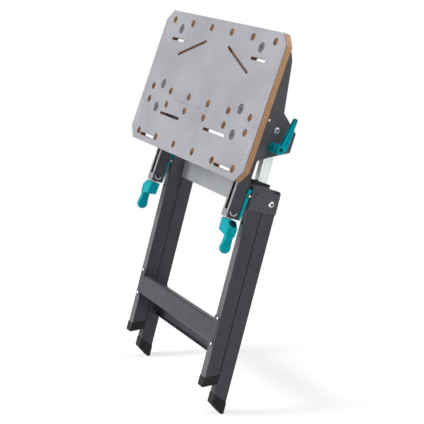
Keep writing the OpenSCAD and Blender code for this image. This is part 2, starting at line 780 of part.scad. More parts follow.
// clamp lever: ribbed hub, boss with a six-sided recess, and an arm with a long groove
module tilt_lever(side) {
    start = ear_x + ear_t + slide_gap;
    arm_x = hub_l * arm_start_share;
    arm_t = hub_l * arm_share;
    arm_l = lever_l - lever_tip_w / 2;
    groove_w = lever_tip_w * arm_groove_share;
    color(teal_colour) leg_frame() on_side(side) translate([start, tube_y, -clamp_drop]) difference() {
        union() {
            across(0, hub_l * rib_share) polygon([for (k = [0:2 * rib_count - 1])
                (hub_d / 2 - (k % 2) * rib_t) * [cos(180 / rib_count * k), sin(180 / rib_count * k)]]);
            bar_x(arm_x, hub_l - arm_x, hub_d * boss_share, 0, 0);
            rotate([-lever_angle, 0, 0]) across(arm_x, arm_t) {
                translate([lever_shift, arm_l]) circle(d = lever_tip_w);
                translate([lever_shift, 0]) polygon(concat(
                    lever_w * arm_foot_shares,
                    [[lever_tip_w / 2, arm_l], [-lever_tip_w / 2, arm_l]]
                ));
            }
        }
        rotate([-lever_angle, 0, 0]) across(arm_x + arm_t - arm_groove_t, arm_groove_t + over)
            slot_shape([lever_shift, hub_d * arm_groove_start_share], [lever_shift, arm_l], groove_w);
        bar_x(-over, hub_l * boss_share + over, bolt_d + 2 * turn_gap, 0, 0);
        translate([hub_l * boss_share, 0, 0]) rotate([0, 90, 0]) cylinder(d = nut_d, h = hub_l, $fn = 6);
    }
}

// front leg: a rectangular tube cut level with the floor at its lower end
module front_leg(side) {
    low_front = -front_reach + sole_t;
    low_back = low_front + leg_d * tan(lean);
    color(steel_colour) leg_frame() on_side(side) difference() {
        across(leg_x - leg_w / 2, leg_w) polygon([
            [leg_front, -leg_top], [leg_back, -leg_top], [leg_back, low_back], [leg_front, low_front]
        ]);
        box([leg_x - leg_w / 2 + leg_wall, leg_front + leg_wall, -front_reach],
            [leg_w - 2 * leg_wall, leg_d - 2 * leg_wall, front_reach]);
        box([leg_x - latch_window_w / 2, leg_front - over, latch_pin_z + latch_window_low],
            [latch_window_w, leg_wall + 2 * over, latch_window_h]);
        for (z = brace_rivet_rows)
            translate([brace_rivet_x, leg_front - over, z]) rotate([-90, 0, 0])
                cylinder(d = rivet_hole_d + 2 * turn_gap, h = leg_wall + 2 * over);
        translate([leg_x, leg_front - over, -leg_top - leg_hole_down]) rotate([-90, 0, 0])
            cylinder(d = leg_hole_d, h = leg_wall + 2 * over);
    }
}

// head of a front leg: two cheeks joined by a front web, with lugs for the latch pin
module leg_head(side) {
    lug_in = leg_x - latch_w / 2 - slide_gap - lug_t;
    lug_far = leg_x + latch_w / 2 + slide_gap;
    lug_root = head_y - latch_pin_y + head_wall / 2;
    color(steel_colour) leg_frame() on_side(side) difference() {
        union() {
            for (x = [cheek_in, cheek_out - head_wall])
                across(x, head_wall)
                    polygon([for (p = head_shares) [head_y + p[0] * head_d, -leg_top - p[1] * head_h]]);
            box([cheek_in, head_y, -leg_top - head_h], [cheek_out - cheek_in, head_wall, head_h]);
            for (x = [lug_in, lug_far]) across(x, lug_t) translate([latch_pin_y, latch_pin_z]) {
                translate([0, -lug_h / 2]) square([lug_root, lug_h]);
                intersection() {
                    circle(r = lug_out);
                    translate([-lug_out, -lug_out]) square([lug_out + lug_root, 2 * lug_out]);
                }
            }
        }
        box([leg_x - latch_window_w / 2, head_y - over, latch_pin_z + latch_window_low],
            [latch_window_w, head_wall + 2 * over, latch_window_h]);
        bar_x(lug_in - over, lug_far - lug_in + lug_t + 2 * over,
            latch_pin_d + 2 * turn_gap, latch_pin_y, latch_pin_z);
        bar_x(cheek_in - over, cheek_out - cheek_in + 2 * over, hinge_d + 2 * turn_gap, hinge_y, -hinge_drop);
        for (z = panel_rivet_rows)
            bar_x(cheek_in - over, head_wall + 2 * over, rivet_hole_d + 2 * turn_gap, panel_rivet_y, z);
    }
}

// plastic cap in the mouth of the leg, which guides the tube
module guide_cap(side) {
    win_low_x = tube_x - tube_w / 2 - slide_gap;
    win_low_y = tube_y - tube_d / 2 - slide_gap;
    win_w = tube_w + 2 * slide_gap;
    win_d = tube_d + 2 * slide_gap;
    front = head_y - cap_front;
    back = leg_back + cap_rear;
    in_x = leg_x - leg_w / 2 + leg_wall + seat_gap;
    in_w = leg_w - 2 * leg_wall - 2 * seat_gap;
    in_d = leg_d - 2 * leg_wall - 2 * seat_gap;
    color(black_colour) leg_frame() on_side(side) difference() {
        union() {
            across(cheek_in - cap_side / 2, cheek_out - cheek_in + cap_side) polygon([
                [front, -leg_top], [back, -leg_top],
                [back, -leg_top + cap_h - cap_low_back], [front, -leg_top + cap_h]
            ]);
            box([in_x, leg_front + leg_wall + seat_gap, -leg_top - skirt_h],
                [in_w, win_low_y - leg_front - leg_wall, skirt_h + over]);
            box([win_low_x + win_w - over, leg_front + leg_wall + seat_gap, -leg_top - skirt_h],
                [in_x + in_w - win_low_x - win_w + over, in_d, skirt_h + over]);
        }
        box([win_low_x, win_low_y, -leg_top - skirt_h - over], [win_w, win_d, skirt_h + cap_h + 2 * over]);
    }
}

module head_plug(side) {
    w = leg_w - 2 * seat_gap;
    low_y = head_y + head_d * plug_shares[0];
    run = head_d * (plug_shares[1] - plug_shares[0]);
    color(black_colour) leg_frame() on_side(side)
        box([leg_x - w / 2, low_y, -leg_top - plug_drop - plug_h], [w, run, plug_h]);
}

// sprung latch lever on its pin, with the tongue that enters the tube
module latch_lever(side) {
    back = head_y - latch_pin_y - latch_back_gap;
    color(teal_colour) leg_frame() on_side(side) translate([0, latch_pin_y, latch_pin_z]) difference() {
        union() {
            across(leg_x - latch_w / 2, latch_w) polygon(concat(
                [for (k = latch_back_shares) [back, k * latch_l]],
                [for (p = latch_front_shares) [p[0] * latch_front, p[1] * latch_l]]
            ));
            box([leg_x - tongue_w / 2, 0, tongue_above], [tongue_w, tongue_tip, tongue_h]);
        }
        bar_x(leg_x - latch_w / 2 - over, latch_w + 2 * over, latch_pin_d + 2 * turn_gap, 0, 0);
    }
}

module latch_pins() {
    reach = latch_w / 2 + slide_gap + lug_t;
    full = reach + latch_head_t;
    color(bolt_colour) leg_frame() for (s = [-1, 1]) on_side(s) {
        bar_x(leg_x - full, 2 * full, latch_pin_d, latch_pin_y, latch_pin_z);
        for (x = [leg_x - full, leg_x + reach])
            bar_x(x, latch_head_t, latch_pin_d + 2 * latch_head_past, latch_pin_y, latch_pin_z);
    }
}

module hinge_bolts() {
    color(bolt_colour) leg_frame() for (s = [-1, 1]) on_side(s)
        translate([cheek_out, hinge_y, -hinge_drop]) rotate([0, 90, 0])
            bolt(bolt_head_d, bolt_head_t, hinge_d, cheek_out - cheek_in, nut_d, nut_h);
}

// C-shaped sheet between the heads, with a flange at each end
module cross_panel() {
    low = -panel_drop - panel_h;
    half = cheek_in;
    fold = brace_d * panel_fold_share;
    color(panel_colour) leg_frame() difference() {
        union() {
            box([-half, leg_back - brace_wall, low], [2 * half, brace_wall, panel_h]);
            for (z = [low, -panel_drop - brace_wall])
                box([-half, leg_back - brace_wall, z], [2 * half, fold, brace_wall]);
            for (x = [-half, half - brace_wall])
                box([x, leg_back - brace_wall, low], [brace_wall, fold, panel_h]);
        }
        for (z = panel_rivet_rows, s = [-1, 1]) on_side(s)
            bar_x(half - brace_wall - over, brace_wall + 2 * over,
                rivet_hole_d + 2 * turn_gap, panel_rivet_y, z);
    }
}

module panel_rivets() {
    color(bolt_colour) leg_frame() for (s = [-1, 1], z = panel_rivet_rows)
        on_side(s) translate([cheek_in - brace_wall, panel_rivet_y, z]) rotate([0, -90, 0])
            rivet(rivet_d, rivet_t, rivet_hole_d, brace_wall + head_wall);
}

// folded sheet in front of the legs: rounded folds at its edges, tabs on the leg faces
module front_brace() {
    low = -brace_drop - brace_h;
    inner_h = brace_h - 2 * brace_wall;
    color(steel_colour) leg_frame() difference() {
        union() {
            across(-brace_half, 2 * brace_half) difference() {
                translate([leg_front - brace_wall, low]) round_box_shape(brace_d + brace_r, brace_h, brace_r);
                translate([leg_front, low + brace_wall])
                    round_box_shape(brace_d + brace_r, inner_h, brace_r - brace_wall);
                translate([leg_front - brace_wall + brace_d, low - over])
                    square([2 * brace_r, brace_h + 2 * over]);
            }
            for (s = [-1, 1]) on_side(s)
                box([brace_half - over, leg_front - brace_wall, low - tab_down],
                    [tab_reach - brace_half + over, brace_wall, brace_h + tab_up + tab_down]);
        }
        for (z = brace_rivet_rows, s = [-1, 1]) on_side(s)
            translate([brace_rivet_x, leg_front - brace_wall - over, z]) rotate([-90, 0, 0])
                cylinder(d = rivet_hole_d + 2 * turn_gap, h = brace_wall + 2 * over);
    }
}

module front_brace_rivets() {
    color(bolt_colour) leg_frame() for (z = brace_rivet_rows, s = [-1, 1])
        on_side(s) translate([brace_rivet_x, leg_front - brace_wall, z]) rotate([90, 0, 0])
            rivet(brace_rivet_d, brace_rivet_t, rivet_hole_d, brace_wall + leg_wall);
}

// a foot is a cap over the end of a leg
module front_foot(side) {
    y0 = leg_front - foot_wall;
    y1 = leg_back + foot_wall;
    rise = (y1 - y0) * tan(lean);
    low_front = -front_reach + sole_t;
    color(black_colour) leg_frame() on_side(side) difference() {
        across(leg_x - leg_w / 2 - foot_wall, leg_w + 2 * foot_wall) polygon([
            [y0, -front_reach + foot_h], [y1, -front_reach + foot_h + rise],
            [y1, -front_reach + rise], [y0, -front_reach]
        ]);
        across(leg_x - leg_w / 2 - seat_gap, leg_w + 2 * seat_gap) polygon([
            [leg_front - seat_gap, low_front], [leg_back + seat_gap, low_front + leg_d * tan(lean)],
            [leg_back + seat_gap, 0], [leg_front - seat_gap, 0]
        ]);
    }
}

// the upper half of a round outline about the rear hinge, from back to front
function half_round(r) = arc_points([hinge_y, -hinge_drop], r, 0, 180, 16);

// rear leg: a rectangular tube with a round top about its hinge
module rear_leg(side) {
    low_front = -rear_reach + sole_t;
    low_back = low_front - rear_d * tan(sole_angle);
    inner_r = rear_d / 2 - leg_wall;
    color(steel_colour) leg_frame() on_side(side) difference() {
        across(leg_x - rear_w / 2, rear_w)
            polygon(concat(half_round(rear_d / 2), [[rear_front, low_front], [rear_back, low_back]]));
        across(leg_x - rear_w / 2 + leg_wall, rear_w - 2 * leg_wall)
            polygon(concat(half_round(inner_r), [
                [hinge_y - inner_r, -2 * rear_reach], [hinge_y + inner_r, -2 * rear_reach]
            ]));
        bar_x(leg_x - rear_w, 2 * rear_w, bush_d + 2 * turn_gap, hinge_y, -hinge_drop);
        for (z = rear_rivet_rows)
            translate([brace_rivet_x, rear_back - leg_wall - over, z]) rotate([-90, 0, 0])
                cylinder(d = rivet_hole_d + 2 * turn_gap, h = leg_wall + 2 * over);
    }
}

module rear_bush(side) {
    color(black_colour) leg_frame() on_side(side) difference() {
        bar_x(leg_x - rear_w / 2, rear_w, bush_d, hinge_y, -hinge_drop);
        bar_x(leg_x - rear_w, 2 * rear_w, hinge_d + 2 * turn_gap, hinge_y, -hinge_drop);
    }
}

// folded sheet on the rear faces of the rear legs
module rear_brace() {
    low = -rear_brace_drop - rear_brace_h;
    inner_h = rear_brace_h - 2 * brace_wall;
    full_d = brace_d + brace_r;
    color(steel_colour) leg_frame() difference() {
        union() {
            across(-brace_half, 2 * brace_half) difference() {
                translate([rear_back + brace_wall - full_d, low])
                    round_box_shape(full_d, rear_brace_h, brace_r);
                translate([rear_back - full_d, low + brace_wall])
                    round_box_shape(full_d, inner_h, brace_r - brace_wall);
                translate([rear_back + brace_wall - brace_d - 2 * brace_r, low - over])
                    square([2 * brace_r, rear_brace_h + 2 * over]);
            }
            for (s = [-1, 1]) on_side(s)
                box([brace_half - over, rear_back, low],
                    [tab_reach - brace_half + over, brace_wall, rear_brace_h]);
        }
        for (z = rear_rivet_rows, s = [-1, 1]) on_side(s)
            translate([brace_rivet_x, rear_back - over, z]) rotate([-90, 0, 0])
                cylinder(d = rivet_hole_d + 2 * turn_gap, h = brace_wall + 2 * over);
    }
}

module rear_brace_rivets() {
    color(bolt_colour) leg_frame() for (z = rear_rivet_rows, s = [-1, 1])
        on_side(s) translate([brace_rivet_x, rear_back + brace_wall, z]) rotate([-90, 0, 0])
            rivet(brace_rivet_d, brace_rivet_t, rivet_hole_d, brace_wall + leg_wall);
}

module rear_foot(side) {
    y0 = rear_front - foot_wall;
    y1 = rear_back + foot_wall;
    low_front = -rear_reach + sole_t;
    top_front = -rear_reach + foot_h + rear_foot_past;
    color(black_colour) leg_frame() on_side(side) difference() {
        across(leg_x - rear_w / 2 - foot_wall, rear_w + 2 * foot_wall) polygon([
            [y0, top_front], [y1, top_front - (y1 - y0) * tan(rear_foot_top_angle)], [y1, heel_back_z],
            [heel_y, heel_z], [y0, -rear_reach]
        ]);
        across(leg_x - rear_w / 2 - seat_gap, rear_w + 2 * seat_gap) polygon([
            [rear_front - seat_gap, low_front], [rear_back + seat_gap, low_front - rear_d * tan(sole_angle)],
            [rear_back + seat_gap, 0], [rear_front - seat_gap, 0]
        ]);
    }
}

fixed_jaw();
movable_jaw();
fixed_covers();
movable_covers();
fixed_screws();
movable_screws();
rail_nuts();
spacer(-1, screw_upper_v);  // spacer_upper_left
spacer(1, screw_upper_v);  // spacer_upper_right
spacer(-1, screw_lower_v);  // spacer_lower_left
spacer(1, screw_lower_v);  // spacer_lower_right
jaw_carriage(-1);  // jaw_carriage_left
jaw_carriage(1);  // jaw_carriage_right
clamp_rail(-1);  // clamp_rail_left
clamp_rail(1);  // clamp_rail_right
rail_end(-1);  // rail_end_left
rail_end(1);  // rail_end_right
tilt_ear(-1);  // tilt_ear_left
tilt_ear(1);  // tilt_ear_right
ear_rivets();
spindle(-1);  // spindle_left
spindle(1);  // spindle_right
crank(-1);  // crank_left
crank(1);  // crank_right
extension_tube(-1);  // extension_tube_left
extension_tube(1);  // extension_tube_right
tube_shoe(-1);  // tube_shoe_left
tube_shoe(1);  // tube_shoe_right
pivot_bolts();
clamp_bolts();
tilt_lever(-1);  // tilt_lever_left
tilt_lever(1);  // tilt_lever_right
front_leg(-1);  // front_leg_left
front_leg(1);  // front_leg_right
leg_head(-1);  // leg_head_left
leg_head(1);  // leg_head_right
guide_cap(-1);  // guide_cap_left
guide_cap(1);  // guide_cap_right
head_plug(-1);  // head_plug_left
head_plug(1);  // head_plug_right
latch_lever(-1);  // latch_lever_left
latch_lever(1);  // latch_lever_right
latch_pins();
hinge_bolts();
cross_panel();
panel_rivets();
front_brace();
front_brace_rivets();
front_foot(-1);  // front_foot_left
front_foot(1);  // front_foot_right
rear_leg(-1);  // rear_leg_left
rear_leg(1);  // rear_leg_right
rear_bush(-1);  // rear_bush_left
rear_bush(1);  // rear_bush_right
rear_brace();
rear_brace_rivets();
rear_foot(-1);  // rear_foot_left
rear_foot(1);  // rear_foot_right
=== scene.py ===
import json
import math
import bmesh
import bpy
from mathutils import Matrix, Vector


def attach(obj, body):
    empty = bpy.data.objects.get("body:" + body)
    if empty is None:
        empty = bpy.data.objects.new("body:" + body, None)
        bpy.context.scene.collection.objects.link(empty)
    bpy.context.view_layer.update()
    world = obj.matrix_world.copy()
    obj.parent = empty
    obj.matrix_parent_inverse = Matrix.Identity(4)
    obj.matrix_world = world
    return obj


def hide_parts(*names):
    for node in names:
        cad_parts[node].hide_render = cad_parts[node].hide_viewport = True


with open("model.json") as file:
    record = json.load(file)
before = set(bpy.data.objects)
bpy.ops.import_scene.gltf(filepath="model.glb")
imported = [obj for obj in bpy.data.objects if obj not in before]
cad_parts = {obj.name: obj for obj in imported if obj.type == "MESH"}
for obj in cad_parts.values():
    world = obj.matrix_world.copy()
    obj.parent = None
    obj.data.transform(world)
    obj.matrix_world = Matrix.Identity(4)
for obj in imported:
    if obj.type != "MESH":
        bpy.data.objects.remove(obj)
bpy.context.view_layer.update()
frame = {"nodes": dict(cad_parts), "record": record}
scene = bpy.context.scene

# Camera
# It stands in front of the bench, to the right of it and a little above, as the
# photograph's does. The lens is long, so the legs stay nearly parallel.
right = Vector((0.44352936, 0.89566117, -0.03275318))
down = Vector((0.22129049, -0.14484906, -0.96439062))
ahead = Vector((-0.8685115, 0.42048758, -0.26244611))
eye = (3.03217791, -1.44606361, 1.38213826)
focal_px, picture_px, sensor = 1300, 424, 36
lens = bpy.data.cameras.new("camera")
lens.sensor_width = sensor
lens.lens = focal_px / picture_px * sensor
lens.clip_start = 0.1
lens.clip_end = 60
camera = bpy.data.objects.new("camera", lens)
scene.collection.objects.link(camera)
turn = Matrix((right, -down, -ahead)).transposed().to_4x4()
camera.matrix_world = Matrix.Translation(eye) @ turn
scene.camera = camera

# Studio
# A plain pale floor under soft lamps, with white all round it. The white shows to the
# camera, in reflections and through gaps, and adds no light to the bench.
scene.view_settings.view_transform = "Standard"
room_light = 0.23
floor_size, floor_drop = 14, 0.0005
shadow_near, shadow_far = 0.7, 1.9


def larger(nodes, links, a, b):
    """The larger of two values."""
    best = nodes.new("ShaderNodeMath")
    best.operation = "MAXIMUM"
    links.new(a, best.inputs[0])
    links.new(b, best.inputs[1])
    return best.outputs[0]


def shown_rays(nodes, links):
    """One for camera, mirror and glass rays, and nothing for the light that falls on things."""
    path = nodes.new("ShaderNodeLightPath").outputs
    seen = larger(nodes, links, path["Is Camera Ray"], path["Is Transmission Ray"])
    return larger(nodes, links, seen, path["Is Glossy Ray"])


world = bpy.data.worlds.new("studio")
scene.world = world
world.use_nodes = True
nodes, links = world.node_tree.nodes, world.node_tree.links
nodes.clear()
room = nodes.new("ShaderNodeBackground")
room.inputs["Color"].default_value = (0.92, 0.95, 1.0, 1)
room.inputs["Strength"].default_value = room_light
white = nodes.new("ShaderNodeBackground")
white.inputs["Color"].default_value = (1, 1, 1, 1)
white.inputs["Strength"].default_value = 1.0
pick_ray = nodes.new("ShaderNodeMixShader")
links.new(shown_rays(nodes, links), pick_ray.inputs[0])
links.new(room.outputs[0], pick_ray.inputs[1])
links.new(white.outputs[0], pick_ray.inputs[2])
sky = nodes.new("ShaderNodeOutputWorld")
links.new(pick_ray.outputs[0], sky.inputs["Surface"])

bpy.ops.object.select_all(action="DESELECT")
bpy.ops.mesh.primitive_plane_add(size=floor_size, location=(0, 0, -floor_drop))
floor = bpy.context.object
floor.name = "floor"
bpy.ops.object.transform_apply(location=True, rotation=False, scale=False)
paper = bpy.data.materials.new("floor_paper")
paper.use_nodes = True
nodes, links = paper.node_tree.nodes, paper.node_tree.links
nodes.clear()
shown = shown_rays(nodes, links)
matt = nodes.new("ShaderNodeBsdfDiffuse")
matt.inputs["Color"].default_value = (0.82, 0.82, 0.82, 1)
glow = nodes.new("ShaderNodeEmission")
glow.inputs["Color"].default_value = (0.5, 0.5, 0.5, 1)
links.new(shown, glow.inputs["Strength"])
lit = nodes.new("ShaderNodeAddShader")
links.new(matt.outputs[0], lit.inputs[0])
links.new(glow.outputs[0], lit.inputs[1])
far = nodes.new("ShaderNodeEmission")
far.inputs["Color"].default_value = (1, 1, 1, 1)
where = nodes.new("ShaderNodeTexCoord")
reach = nodes.new("ShaderNodeVectorMath")
reach.operation = "LENGTH"
links.new(where.outputs["Object"], reach.inputs[0])
fade = nodes.new("ShaderNodeMapRange")
fade.inputs["From Min"].default_value = shadow_near
fade.inputs["From Max"].default_value = shadow_far
links.new(reach.outputs["Value"], fade.inputs["Value"])
both = nodes.new("ShaderNodeMath")
both.operation = "MULTIPLY"
links.new(fade.outputs[0], both.inputs[0])
links.new(shown, both.inputs[1])
blend_far = nodes.new("ShaderNodeMixShader")
links.new(both.outputs[0], blend_far.inputs[0])
links.new(lit.outputs[0], blend_far.inputs[1])
links.new(far.outputs[0], blend_far.inputs[2])
paper_out = nodes.new("ShaderNodeOutputMaterial")
links.new(blend_far.outputs[0], paper_out.inputs["Surface"])
floor.data.materials.append(paper)


def lamp(name, place, aim, size, power):
    """A round soft lamp that looks at a point."""
    light = bpy.data.lights.new(name, "AREA")
    light.shape = "DISK"
    light.size = size
    light.energy = power
    holder = bpy.data.objects.new(name, light)
    scene.collection.objects.link(holder)
    look = (Vector(aim) - Vector(place)).to_track_quat("-Z", "Y").to_matrix().to_4x4()
    holder.matrix_world = Matrix.Translation(place) @ look


lamp("key_lamp", (-1.6, -3.4, 2.6), (0, 0, 0.5), size=1.6, power=112)
lamp("side_lamp", (1.35, 0.4, 1.4), (0, 0, 0.85), size=0.7, power=7)
lamp("fill_lamp", (1.0, -2.6, 0.3), (0, 0, 0.4), size=1.2, power=14)
lamp("back_lamp", (0.5, 2.8, 2.2), (0, 0, 0.6), size=1.6, power=24)

# Front legs
# Two rectangular steel tubes with rounded corners, powder coated in dark grey. All the
# bench is measured in millimetres along them, from the middle of the top's face.
mm = 0.001
near, facing = 0.1, 0.9
lean, face_middle = 18, (0, 0.00530396, 0.80144375)
leg = Matrix.Translation(face_middle) @ Matrix.Rotation(math.radians(-lean), 4, "X")
leg_x, leg_w, leg_front, leg_back = 236, 26, 81, 119.5
front_bend, back_bend, leg_edge = 2.2, 0.7, 30
record = frame["record"]
body_of = {node: body for body, nodes in record["behaviour"]["bodies"].items() for node in nodes}


def sides(name):
    """The names of the left and the right piece of a pair."""
    return [name + "_left", name + "_right"]


def only(*pieces):
    """Select these pieces and nothing else."""
    bpy.ops.object.select_all(action="DESELECT")
    for piece in pieces:
        piece.select_set(True)
    bpy.context.view_layer.objects.active = pieces[0]


def same(p, q):
    """Whether two lengths in millimetres are alike."""
    return abs(p - q) < near


def stand_for(piece, node):
    """Put a piece in the place of a solid, on its body."""
    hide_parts(node)
    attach(piece, body_of[node])


def from_solid(node):
    """A merged copy of a solid, which stands for it once it is finished."""
    piece = bpy.data.objects.new(node + "_made", frame["nodes"][node].data.copy())
    scene.collection.objects.link(piece)
    only(piece)
    bpy.ops.mesh.customdata_custom_splitnormals_clear()
    bpy.ops.object.mode_set(mode="EDIT")
    bpy.ops.mesh.select_all(action="SELECT")
    bpy.ops.mesh.remove_doubles(threshold=0.000001)
    bpy.ops.mesh.dissolve_limited(angle_limit=math.radians(0.5))
    bpy.ops.object.mode_set(mode="OBJECT")
    stand_for(piece, node)
    return piece


def pick(piece, place, edge=None, face=None):
    """In edit mode, select the edges or faces that a test in millimetres lets through."""
    bpy.ops.mesh.select_mode(type="EDGE" if edge else "FACE")
    bpy.ops.mesh.select_all(action="DESELECT")
    back = place.inverted()
    turned = back.to_3x3()
    shape = bmesh.from_edit_mesh(piece.data)
    if edge:
        for e in shape.edges:
            e.select_set(bool(edge(back @ e.verts[0].co / mm, back @ e.verts[1].co / mm)))
    if face:
        for f in shape.faces:
            f.select_set(bool(face(back @ f.calc_center_median() / mm, turned @ f.normal)))
    bmesh.update_edit_mesh(piece.data)


def round_edges(piece, place, edge, radius, steps=3):
    """Round the edges that pass the test, as a bend or a mould does."""
    only(piece)
    bpy.ops.object.mode_set(mode="EDIT")
    pick(piece, place, edge=edge)
    bpy.ops.mesh.bevel(offset=radius * mm, segments=steps, affect="EDGES", clamp_overlap=False)
    bpy.ops.object.mode_set(mode="OBJECT")


def runs_along(a, b, x, width, depths, shortest):
    """Whether an edge runs along a tube on its left or right side, at one of these depths."""
    return (
        abs(abs(a.x) - x) > width / 2 - near and same(a.x, b.x) and same(a.y, b.y)
        and abs(a.z - b.z) > shortest and any(same(a.y, y) for y in depths)
    )


def polish(piece, angle=50):
    """Smooth shading on curves and bends, and flat faces kept flat."""
    only(piece)
    bpy.ops.object.shade_smooth_by_angle(angle=math.radians(angle))
    even = piece.modifiers.new("even", "WEIGHTED_NORMAL")
    even.keep_sharp = True
    bpy.ops.object.modifier_apply(modifier=even.name)


def finish_for(name, dark, light, patch, rough, grain, depth, gloss=0.5, metal=0.0, stretch=(1, 1, 1),
               specks=None):
    """A surface whose colour, sheen and height all wander a little.

    Its colour goes from dark to light in clouds of the scale patch, and its roughness
    between the two values of rough at the scale grain, where its bumps are depth high.
    Specks, if it has any, are a colour and how strongly it shows.
    """
    made = bpy.data.materials.new(name)
    made.use_nodes = True
    nodes, links = made.node_tree.nodes, made.node_tree.links
    shader = nodes["Principled BSDF"]
    shader.inputs["Metallic"].default_value = metal
    shader.inputs["Specular IOR Level"].default_value = gloss
    where = nodes.new("ShaderNodeTexCoord")
    fit = nodes.new("ShaderNodeMapping")
    fit.inputs["Scale"].default_value = stretch
    links.new(where.outputs["Object"], fit.inputs["Vector"])
    cloud = nodes.new("ShaderNodeTexNoise")
    cloud.inputs["Scale"].default_value = patch
    cloud.inputs["Detail"].default_value = 4.0
    links.new(fit.outputs[0], cloud.inputs["Vector"])
    tones = nodes.new("ShaderNodeValToRGB")
    tones.color_ramp.elements[0].position = 0.35
    tones.color_ramp.elements[0].color = (*dark, 1)
    tones.color_ramp.elements[1].position = 0.65
    tones.color_ramp.elements[1].color = (*light, 1)
    links.new(cloud.outputs["Fac"], tones.inputs["Fac"])
    fine = nodes.new("ShaderNodeTexNoise")
    fine.inputs["Scale"].default_value = grain
    fine.inputs["Detail"].default_value = 2.0
    links.new(fit.outputs[0], fine.inputs["Vector"])
    colour = tones.outputs["Color"]
    if specks:
        spots = nodes.new("ShaderNodeTexNoise")
        spots.inputs["Scale"].default_value = grain * 0.35
        spots.inputs["Detail"].default_value = 5.0
        links.new(where.outputs["Object"], spots.inputs["Vector"])
        few = nodes.new("ShaderNodeMapRange")
        few.inputs["From Min"].default_value = 0.62
        few.inputs["From Max"].default_value = 0.74
        few.inputs["To Max"].default_value = specks[1]
        links.new(spots.outputs["Fac"], few.inputs["Value"])
        worn = nodes.new("ShaderNodeMix")
        worn.data_type = "RGBA"
        worn.inputs["B"].default_value = (*specks[0], 1)
        links.new(few.outputs[0], worn.inputs["Factor"])
        links.new(colour, worn.inputs["A"])
        colour = worn.outputs["Result"]
    links.new(colour, shader.inputs["Base Color"])
    sheen = nodes.new("ShaderNodeMapRange")
    sheen.inputs["To Min"].default_value = rough[0]
    sheen.inputs["To Max"].default_value = rough[1]
    links.new(fine.outputs["Fac"], sheen.inputs["Value"])
    links.new(sheen.outputs[0], shader.inputs["Roughness"])
    bump = nodes.new("ShaderNodeBump")
    bump.inputs["Strength"].default_value = 0.35
    bump.inputs["Distance"].default_value = depth * mm
    links.new(fine.outputs["Fac"], bump.inputs["Height"])
    links.new(bump.outputs[0], shader.inputs["Normal"])
    return made


def dress(material, *pieces):
    """Give pieces, or solids by name, their finish."""
    for piece in pieces:
        if isinstance(piece, str):
            piece = frame["nodes"][piece]
        piece.data.materials.clear()
        piece.data.materials.append(material)


def dress_part(material, piece, place, face):
    """Give a second finish to the faces that a test in millimetres lets through."""
    piece.data.materials.append(material)
    back = place.inverted()
    turned = back.to_3x3()
    for f in piece.data.polygons:
        if face(back @ f.center / mm, turned @ f.normal):
            f.material_index = 1


coat = finish_for(
    "powder_coat", (0.047, 0.049, 0.058), (0.06, 0.062, 0.072), patch=30, rough=(0.36, 0.52),
    grain=1500, depth=0.25, gloss=0.3, specks=((0.1, 0.105, 0.11), 0.5)
)
# A lighter copy of the coat for the legs' front faces: painted light, standing for the lamps' light on
# them.
painted_light_coat = finish_for(
    "powder_coat_painted_light_front", (0.105, 0.108, 0.116), (0.135, 0.138, 0.146), patch=30, rough=(0.32, 0.46),
    grain=1500, depth=0.25, gloss=0.35, specks=((0.16, 0.16, 0.17), 0.5)
)
for node in sides("front_leg"):
    tube = from_solid(node)
    round_edges(tube, leg, lambda a, b: runs_along(a, b, leg_x, leg_w, [leg_front], leg_edge), front_bend)
    round_edges(tube, leg, lambda a, b: runs_along(a, b, leg_x, leg_w, [leg_back], leg_edge), back_bend)
    polish(tube)
    dress(coat, tube)
    # The front faces get the lighter coat, which is painted light.
    dress_part(painted_light_coat, tube, leg, lambda c, n: n.y < -facing)

# Leg heads
# Pressed steel cheeks that wrap the top of each front leg and carry the hinge and the
# latch. A small pointer and a dot are printed on the right one.
sheet = 1.5
cheek, head_front, head_bend, head_edge = leg_w / 2 + sheet, leg_front - sheet, 1.4, 20
light_coat = finish_for(
    "powder_coat_light", (0.066, 0.068, 0.077), (0.082, 0.085, 0.095), patch=30, rough=(0.36, 0.52),
    grain=1500, depth=0.25, gloss=0.35, specks=((0.13, 0.135, 0.14), 0.5)
)


def break_edges(piece, width, steps=2):
    """Take the sharpness off every edge."""
    only(piece)
    arris = piece.modifiers.new("arris", "BEVEL")
    arris.width = width * mm
    arris.segments = steps
    arris.limit_method = "ANGLE"
    arris.angle_limit = math.radians(40)
    bpy.ops.object.modifier_apply(modifier=arris.name)


def soften(piece, material, width, steps=2):
    """Break a piece's edges, smooth its bends and give it its finish."""
    break_edges(piece, width, steps)
    polish(piece)
    dress(material, piece)


for node in sides("leg_head"):
    head = from_solid(node)
    round_edges(head, leg, lambda a, b: (
        same(abs(abs(a.x) - leg_x), cheek) and same(a.x, b.x) and abs(a.z - b.z) > head_edge
        and same(a.y, head_front) and same(b.y, head_front)
    ), head_bend)
    soften(head, light_coat, width=0.3)

black = finish_for(
    "black_plastic", (0.009, 0.009, 0.011), (0.015, 0.015, 0.017), patch=60, rough=(0.34, 0.5),
    grain=1600, depth=0.2, gloss=0.2, specks=((0.045, 0.045, 0.048), 0.35)
)


def settle(piece, place):
    """Put a piece that was made about its own zero into its place, in its mesh."""
    only(piece)
    piece.matrix_world = place @ piece.matrix_world
    bpy.ops.object.transform_apply(location=True, rotation=True, scale=True)


